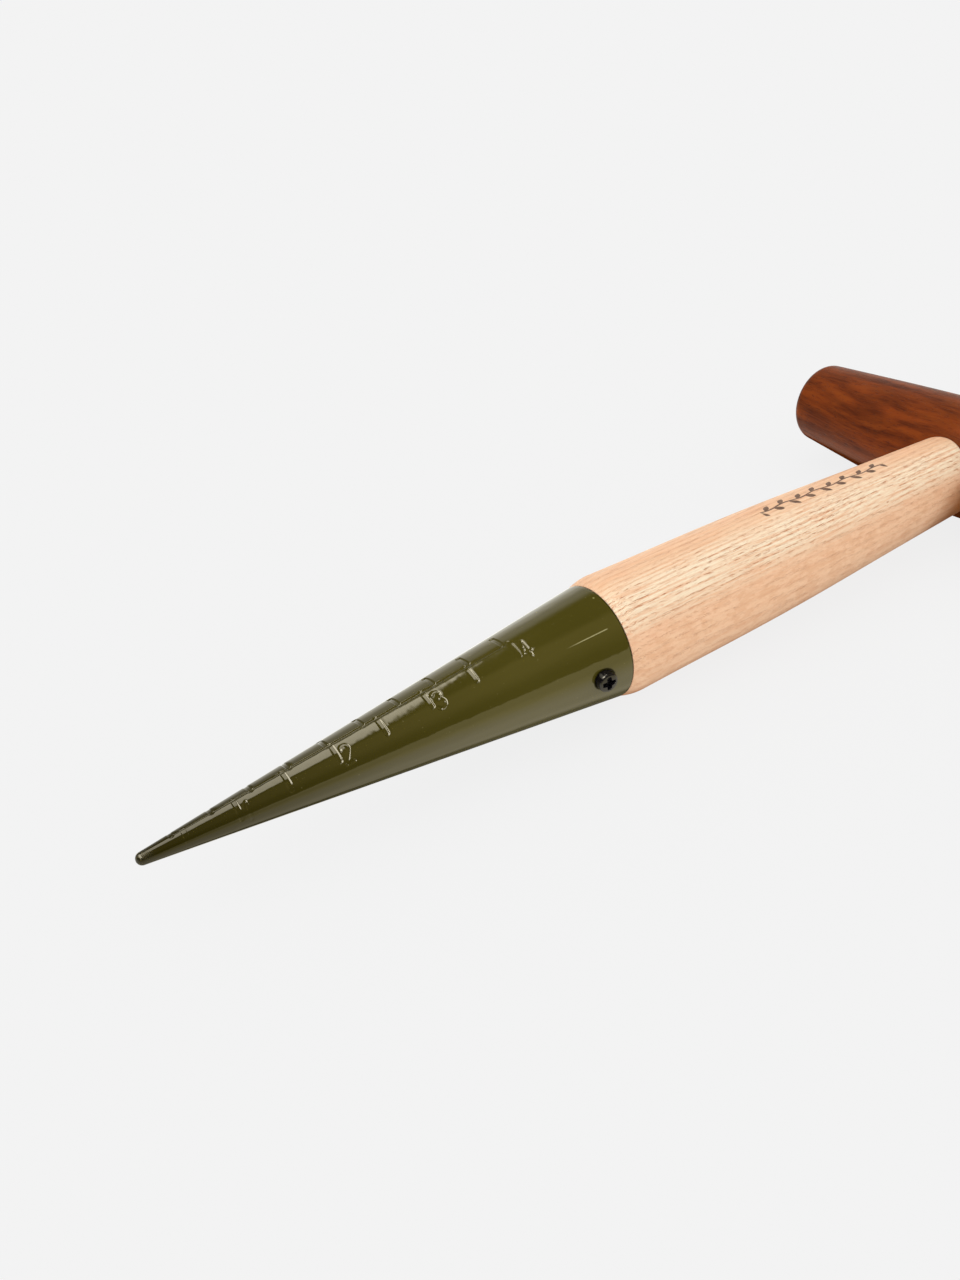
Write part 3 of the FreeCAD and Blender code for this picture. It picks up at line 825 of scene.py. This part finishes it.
def ash_grain(g, place):
    """The swaying grain's coordinates, and masks of its early wood, streaks and pores."""
    x, y, z = g.split(place)
    bend = g.noise(place, (60.0, 13.0, 13.0))
    ripple = g.noise(place, (9.0, 4.0, 4.0), 1.0)
    sway = g.plus(g.times(g.minus(bend, 0.5), 4.0), g.times(g.minus(ripple, 0.5), 0.45))
    grain = g.join(x, g.plus(y, sway), g.plus(z, sway))
    ring = g.length(g.plus(y, -ASH_PITH_Y), g.plus(z, -ASH_PITH_Z))
    ring = g.plus(ring, g.plus(sway, g.times(x, 0.012)))
    phase = g.math("FRACT", g.math("DIVIDE", ring, ASH_RING))
    early = g.window(phase, (0.0, 0.15), (0.62, 0.30))
    streak = g.noise(grain, (16.0, 0.55, 0.55), 4.0, 0.62)
    pores = g.noise(grain, (2.6, 0.22, 0.22), 1.0)
    drift = g.noise(grain, (20.0, 2.6, 2.6))
    pore = g.times(g.range(pores, 0.54, 0.63), g.range(early, 0.0, 1.0, 0.30, 1.0),
                   g.range(drift, 0.34, 0.54, 0.40, 1.0))
    return grain, early, streak, pore


def ash_colour(g, place, angle, grain, early, streak, pore):
    """Colour of the ash: a pale middle that is partly figure and partly a painted sheen, pinker sides,
    and plainer grain on the lower side.
    """
    cloud = g.noise(place, (16.0, 5.0, 5.0), 3.0, 0.55)
    fleck = g.noise(grain, (1.5, 0.45, 0.45), 2.0, 0.6)
    mottle = g.noise(grain, (4.2, 2.0, 2.0), 3.0, 0.62)
    middle = g.window(angle, (2.0, 26.0), (70.0, 42.0))
    plain = g.range(angle, 46.0, 74.0, 1.0, 0.4)
    base = g.mix(g.range(cloud, 0.35, 0.65), ASH["dark"], ASH["light"])
    base = g.mix(g.range(angle, 8.0, -18.0, 0.0, 0.70), base, ASH["upper"])
    base = g.mix(g.range(angle, 44.0, 66.0, 0.0, 0.45), base, ASH["lower"])
    blotch = g.times(g.range(mottle, 0.44, 0.60, 0.0, 0.52), g.range(angle, 46.0, 74.0))
    base = g.mix(blotch, base, ASH["mottle"])
    base = g.mix(g.times(early, g.times(plain, 0.42)), base, ASH["early"])
    base = g.mix(g.times(g.range(streak, 0.38, 0.62, 0.0, 0.50), plain), base, ASH["streak"])
    # The pale middle is partly the wood's figure and partly a painted sheen.
    pale = g.times(middle, g.range(streak, 0.35, 0.58, 0.20, 1.0),
                   g.range(early, 0.0, 1.0, 1.0, 0.55))
    base = g.mix(pale, base, ASH["pale"])
    base = g.mix(g.range(fleck, 0.54, 0.70, 0.0, 0.36), base, ASH["fleck"])
    inked = g.times(g.range(middle, 0.0, 1.0, 0.42, 0.85), plain)
    return g.mix(g.times(pore, inked), base, ASH["pore"])


def ash_wood():
    """Pale ash with fine open pores along X, a burnt sprig, a painted shadow under the grip and painted
    shade along the underside.
    """
    g = Graph("ash_wood")
    place = in_millimetres(g)
    x, y, z = g.split(place)
    angle = azimuth_of(g, y, z)
    grain, early, streak, pore = ash_grain(g, place)
    base = ash_colour(g, place, angle, grain, early, streak, pore)
    below = g.plus(x, g.times(g.minus(angle, 90.0), 0.2))
    shadow = g.times(g.range(below, 236.0, 256.0), g.range(angle, 54.0, 84.0))
    base = g.mix(g.times(shadow, 0.97), base, ASH["under_grip"])
    # Painted shade along the underside, where the gloss is also dulled.
    lowest = g.range(angle, 118.0, 140.0)
    base = g.mix(g.times(lowest, 0.6), base, ASH["lowest"])
    mark = burnt_sprig(g, x, angle)
    base = g.mix(g.times(mark, g.range(streak, 0.3, 0.7, 0.80, 0.97)), base, ASH["burnt"])
    height = g.times(g.plus(g.times(pore, 0.8), mark), -1.0)
    normal = g.bump(g.plus(height, g.times(streak, 0.3)), 0.00008)
    rough = g.range(streak, 0.3, 0.7, 0.52, 0.42)
    g.feed(g.shader.inputs["Specular IOR Level"], g.range(lowest, 0.0, 1.0, 0.4, 0.05))
    return g.set(Base_Color=base, Roughness=rough, IOR=1.45, Normal=normal)


def sprig_leaves(g, along, across, side):
    """Mask of the leaves on one side of the sprig; along counts leaf pitches."""
    share = g.math("FRACT", g.plus(along, 0.25 + 0.25 * side))
    local = g.times(g.minus(share, 0.5), LEAF_PITCH)
    height = g.minus(g.times(across, side), LEAF_OUT)
    cos, sin = math.cos(math.radians(LEAF_LEAN)), math.sin(math.radians(LEAF_LEAN))
    lengthwise = g.plus(g.times(local, cos), g.times(height, sin))
    sideways = g.minus(g.times(height, cos), g.times(local, sin))
    reach = g.math("DIVIDE", lengthwise, LEAF_LENGTH / 2.0)
    room = g.times(g.minus(1.0, g.times(reach, reach)), LEAF_HALF)
    return g.range(g.minus(room, g.math("ABSOLUTE", sideways)), 0.0, 0.10)


def burnt_sprig(g, x, angle):
    """Mask of a plain sprig burnt into the stem: a wavy twig with leaves on each side."""
    across = g.times(g.minus(angle, SPRIG_AZIMUTH), SPRIG_RADIUS / DEGREES)
    along = g.math("DIVIDE", g.minus(x, SPRIG_START), LEAF_PITCH)
    wave = g.times(g.math("SINE", g.times(along, math.pi)), TWIG_WAVE)
    off_twig = g.minus(across, wave)
    mask = g.range(g.math("ABSOLUTE", off_twig), TWIG_HALF, 0.6 * TWIG_HALF)
    for side in (1.0, -1.0):
        mask = g.math("MAXIMUM", mask, sprig_leaves(g, along, off_twig, side))
    ends = g.window(x, (SPRIG_START - 0.1, SPRIG_START + 0.1), (SPRIG_END + 0.1, SPRIG_END - 0.1))
    near = g.range(g.math("ABSOLUTE", across), SPRIG_HALF, SPRIG_HALF - 0.4)
    return g.times(mask, g.times(ends, near))


def walnut_rings(g, place, shift):
    """The dark eye's distance, and the phase of the bands that part round it."""
    x, y, z = g.split(place)
    eye_y = g.math("DIVIDE", g.minus(y, EYE_Y), EYE_HALF_Y)
    eye_z = g.math("DIVIDE", g.plus(g.minus(z, EYE_Z), g.times(shift, 0.5)), EYE_HALF_Z)
    eye = g.plus(g.math("POWER", eye_y, 2.0), g.math("POWER", eye_z, 2.0))
    swirl = g.times(g.math("EXPONENT", g.times(eye, -1.0)), EYE_SWIRL)
    ring = g.plus(g.plus(g.times(x, 0.6), g.times(z, 0.8)), g.plus(shift, swirl))
    return eye, g.times(ring, 2.0 * math.pi / WALNUT_RING)


def walnut_colour(g, grain, phase, eye, fine):
    """Colour of the walnut's bands, flames and fibres, and of its dark eye."""
    flame = g.noise(grain, (4.0, 16.0, 4.0))
    bands = g.noise(grain, (3.0, 34.0, 3.0), 4.0, 0.6)
    base = g.mix(g.range(bands, 0.36, 0.62), WALNUT["dark"], WALNUT["light"])
    base = g.mix(g.range(phase, 0.1, 1.0, 0.0, 0.34), base, WALNUT["dark_ring"])
    base = g.mix(g.range(phase, -0.2, -1.0, 0.0, 0.25), base, WALNUT["light_ring"])
    base = g.mix(g.range(flame, 0.48, 0.72, 0.0, 0.34), base, WALNUT["flame"])
    base = g.mix(g.range(fine, 0.35, 0.65, 0.0, 0.32), base, WALNUT["light_fibre"])
    base = g.mix(g.range(fine, 0.44, 0.32, 0.0, 0.40), base, WALNUT["dark_fibre"])
    return g.mix(g.range(eye, 0.35, 0.05, 0.0, 0.38), base, WALNUT["eye"])


def walnut_wood(name="walnut_wood", seed=0.0):
    """Dark oiled walnut: soft bands along Y with fine pores, dull and with painted shade underneath, and
    darker ends that are partly end grain and partly painted shade.
    """
    g = Graph(name)
    moved = g.node("ShaderNodeVectorMath", operation="ADD")
    g.feed(moved.inputs[0], in_millimetres(g))
    moved.inputs[1].default_value = (seed, seed, seed)
    place = moved.outputs[0]
    x, y, z = g.split(place)
    shift = g.times(g.minus(g.noise(place, (12.0, 44.0, 12.0)), 0.5), 4.5)
    grain = g.join(g.plus(x, shift), y, g.plus(z, shift))
    eye, turn = walnut_rings(g, place, shift)
    uneven = g.times(g.noise(grain, (6.0, 60.0, 6.0), 1.0), 4.0)
    phase = g.math("SINE", g.plus(turn, uneven))
    fine = g.noise(grain, (0.45, 8.0, 0.45), 3.0, 0.65)
    base = walnut_colour(g, grain, phase, eye, fine)
    pore = g.range(g.noise(grain, (0.26, 3.0, 0.26)), 0.60, 0.70)
    base = g.mix(g.times(pore, 0.5), base, WALNUT["pore"])
    # Painted shade: darker towards the underside and darkest along the lowest edge.
    base = g.mix(g.range(z, 2.0, -13.0, 0.0, 0.48), base, WALNUT["under"])
    base = g.mix(g.range(z, -6.5, -9.5, 0.0, 0.45), base, WALNUT["lowest"])
    # The ends are darker partly as end grain and partly as painted shade.
    end_grain = g.range(g.math("ABSOLUTE", y), 60.7, 61.7)
    base = g.mix(g.times(end_grain, 0.65), base, WALNUT["end_grain"])
    normal = g.bump(g.minus(g.times(fine, 0.4), g.times(pore, 0.8)), 0.00006)
    rough = g.range(fine, 0.3, 0.7, 0.46, 0.36)
    polish = g.times(g.range(z, -4.0, -8.0, 0.07, 0.0), g.minus(1.0, end_grain))
    g.feed(g.shader.inputs["Specular IOR Level"], polish)
    return g.set(Base_Color=base, Roughness=rough, IOR=1.5, Normal=normal)


def black_steel():
    """Black phosphated screw steel."""
    g = Graph("black_steel")
    grain = g.noise(in_millimetres(g), (0.35, 0.35, 0.35), 3.0, 0.6)
    base = g.mix(grain, BLACK_STEEL["dark"], BLACK_STEEL["light"])
    normal = g.bump(grain, 0.00001)
    rough = g.range(grain, 0.3, 0.7, 0.10, 0.18)
    return g.set(Base_Color=base, Roughness=rough, IOR=1.48, Normal=normal)


# ---- studio ----------------------------------------------------------------------------
BACKGROUND = 0.896
SKY = 1.32
FLOOR_ALBEDO = 0.05
FLOOR_GLOW = BACKGROUND - FLOOR_ALBEDO * SKY
FLOOR_HALF = 8.0
WHITE = (1.0, 1.0, 1.0, 1.0)
# What gloss sees: the floor far out, the floor close by, the floor beyond the tool.
FAR_TINT, NEAR_TINT = (1.0, 0.88, 0.50, 1.0), (1.0, 0.92, 0.72, 1.0)
BEYOND_TINT = (1.20, 1.18, 1.08, 1.0)
# What gloss sees above the floor.
DARK_TINT, CEILING_TINT = (0.01, 0.01, 0.01, 1.0), (0.42, 0.34, 0.13, 1.0)
WALL_TINT, LAMP_TINT = (1.0, 0.96, 0.86), (1.0, 0.92, 0.72)
LAMP_STRENGTH = 12.0


def floor_reflection(g):
    """Colour that gloss sees in the floor: brightest a little way out, dim under the tool."""
    x, y, _ = g.split(in_millimetres(g))
    far = g.math("ABSOLUTE", y)
    reach = g.plus(g.times(x, TAPER), SHARP_END_RADIUS)
    beside = g.math("DIVIDE", far, g.math("MAXIMUM", reach, SHARP_END_RADIUS))
    sheen = g.plus(g.range(far, 90.0, 30.0, 0.98, 1.40), g.range(beside, 1.9, 0.9, 0.0, -0.5))
    sheen = g.times(sheen, g.range(beside, 0.6, 1.0, 0.15, 1.0), g.range(x, 10.0, 90.0, 0.55, 1.0))
    tint = g.mix(g.range(far, 60.0, 22.0), FAR_TINT, NEAR_TINT)
    tint = g.mix(g.range(y, 0.0, 25.0), tint, BEYOND_TINT)
    glow = g.node("ShaderNodeVectorMath", operation="SCALE")
    g.feed(glow.inputs[0], tint)
    g.feed(glow.inputs["Scale"], sheen)
    return glow.outputs[0]


def floor_material():
    """Matt floor that mostly glows, so that shadows stay faint."""
    g = Graph("studio_floor")
    gloss = g.node("ShaderNodeLightPath").outputs["Is Glossy Ray"]
    g.feed(g.shader.inputs["Emission Color"], g.mix(gloss, WHITE, floor_reflection(g)))
    strength = g.plus(g.times(gloss, 1.0 - FLOOR_GLOW), FLOOR_GLOW)
    g.feed(g.shader.inputs["Emission Strength"], strength)
    albedo = g.times(g.minus(1.0, gloss), FLOOR_ALBEDO)
    grey = g.node("ShaderNodeCombineColor")
    for socket in grey.inputs:
        g.feed(socket, albedo)
    g.shader.inputs["Specular IOR Level"].default_value = 0.0
    g.material.cycles.emission_sampling = "NONE"
    return g.set(Base_Color=grey.outputs[0], Roughness=1.0)


def studio_floor():
    """Large plain pale floor under the tool."""
    mesh = bpy.data.meshes.new("studio_floor")
    half = FLOOR_HALF
    corners = [(-half, -half), (half, -half), (half, half), (-half, half)]
    mesh.from_pydata([(x, y, cad_low.z) for x, y in corners], [], [(0, 1, 2, 3)])
    mesh.materials.append(floor_material())
    floor = bpy.data.objects.new("studio_floor", mesh)
    bpy.context.scene.collection.objects.link(floor)


class Sky(Graph):
    """The same short node notation for the world."""

    def __init__(self):
        world = bpy.data.worlds.new("studio")
        bpy.context.scene.world = world
        world.use_nodes = True
        world.cycles.sampling_method = "NONE"
        self.tree = world.node_tree
        self.emit = self.tree.nodes["Background"]
        self.place = self.node("ShaderNodeTexCoord").outputs["Generated"]


# In the surround, x is the direction's part along X, and height is an angle in degrees that
# starts at the horizon beyond the tool, passes overhead at 90 and ends at the near horizon.
def back_wall(g, x, height):
    """Brightness of the wall beyond the tool; it fades towards the point's side."""
    wall = g.plus(g.range(height, 54.0, 34.0, 0.0, 0.72), g.range(height, 27.0, 12.0, 0.0, 0.40))
    return g.times(wall, g.slope(x, 0.04, 0.20, 0.25, 1.0))


def softbox(g, x, height):
    """Brightness of the long softbox overhead, with its slanted end."""
    edge = g.plus(x, g.times(g.minus(height, 60.0), 0.0036))
    box = g.window(height, (59.0, 64.0), (99.0, 94.0))
    box = g.times(box, g.times(g.range(edge, 0.295, 0.262), g.range(x, -0.2, -0.1)))
    return g.times(box, g.slope(x, 0.0, 0.22, 3.4, 5.4))


def point_lamp(g, x, height):
    """Brightness of the strong lamp overhead, on the point's side."""
    lamp = g.window(x, (-0.66, -0.58), (-0.20, -0.28))
    lamp = g.times(lamp, g.range(height, 52.0, 60.0), g.range(height, 132.0, 122.0))
    return g.times(lamp, LAMP_STRENGTH)


def gloss_surround(g):
    """What gloss sees: a back wall, a softbox, a lamp and a dim ceiling; the front is dark."""
    x, y, z = g.split(g.place)
    height = g.times(g.math("ARCTAN2", z, y), DEGREES)
    wall = back_wall(g, x, height)
    bright = g.plus(softbox(g, x, height), point_lamp(g, x, height))
    ceiling = g.window(height, (95.0, 110.0), (168.0, 130.0))
    ceiling = g.times(ceiling, g.slope(x, 0.02, 0.20, 0.35, 1.0))
    lights = g.node("ShaderNodeCombineColor")
    for socket, of_wall, of_lamp in zip(lights.inputs, WALL_TINT, LAMP_TINT):
        g.feed(socket, g.plus(g.times(wall, of_wall), g.times(bright, of_lamp)))
    total = g.node("ShaderNodeMix", data_type="RGBA", blend_type="ADD")
    total.inputs[0].default_value = 1.0
    g.feed(total.inputs[6], g.mix(ceiling, DARK_TINT, CEILING_TINT))
    g.feed(total.inputs[7], lights.outputs[0])
    return total.outputs[2]


def studio_world():
    """Even light for matt surfaces, plain grey for the camera, and a surround for gloss."""
    g = Sky()
    light = g.node("ShaderNodeLightPath")
    even = g.mix(light.outputs["Is Camera Ray"], (SKY,) * 3 + (1.0,), (BACKGROUND,) * 3 + (1.0,))
    g.feed(g.emit.inputs["Color"], g.mix(light.outputs["Is Glossy Ray"], even, gloss_surround(g)))


# ---- camera: degrees, metres and, for the lens and the sensor, millimetres -----------------
CAMERA_AZIMUTH, CAMERA_ELEVATION, CAMERA_ROLL = -31.03, 32.58, -6.68
CAMERA_TARGET = Vector((0.10607, 0.02106, 0.0))
CAMERA_DISTANCE = 0.3878
CAMERA_LENS, CAMERA_SENSOR = 42.19, 36.0
CAMERA_CLIP_START = 0.01


def camera():
    """Camera at the photograph's viewing angle."""
    azimuth, elevation = math.radians(CAMERA_AZIMUTH), math.radians(CAMERA_ELEVATION)
    roll = math.radians(CAMERA_ROLL)
    back = Vector((math.sin(azimuth) * math.cos(elevation), -math.cos(azimuth) * math.cos(elevation),
                   math.sin(elevation)))
    right = Vector((0.0, 0.0, 1.0)).cross(back).normalized()
    up = back.cross(right)
    turned_right = math.cos(roll) * right + math.sin(roll) * up
    turned_up = math.cos(roll) * up - math.sin(roll) * right
    data = bpy.data.cameras.new("camera")
    data.sensor_width = CAMERA_SENSOR
    data.lens = CAMERA_LENS
    data.clip_start = CAMERA_CLIP_START
    eye = bpy.data.objects.new("camera", data)
    bpy.context.scene.collection.objects.link(eye)
    matrix = Matrix((turned_right, turned_up, back)).transposed().to_4x4()
    matrix.translation = CAMERA_TARGET + CAMERA_DISTANCE * back
    eye.matrix_world = matrix
    bpy.context.scene.camera = eye


# ---- assembly --------------------------------------------------------------------------
def dress(piece, material, node):
    """Gives a piece its material, hangs it under the root body, and hides the CAD node it stands for."""
    piece.data.materials.clear()
    piece.data.materials.append(material)
    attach(piece, "root")
    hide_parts(node)


steel = black_steel()
dress(steel_cone(), olive_enamel(), "steel_cone")
dress(ash_stem(), ash_wood(), "ash_stem")
dress(walnut_grip(), walnut_wood(), "walnut_grip")
dress(cone_screw(), steel, "cone_screw")
dress(grip_screw(), steel, "grip_screw")
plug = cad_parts["grip_plug"]
plug.data.materials.clear()
plug.data.materials.append(walnut_wood("walnut_plug", PLUG_SEED))

studio_floor()
studio_world()
camera()
scene = bpy.context.scene
scene.view_settings.view_transform = "Standard"
scene.cycles.use_denoising = True
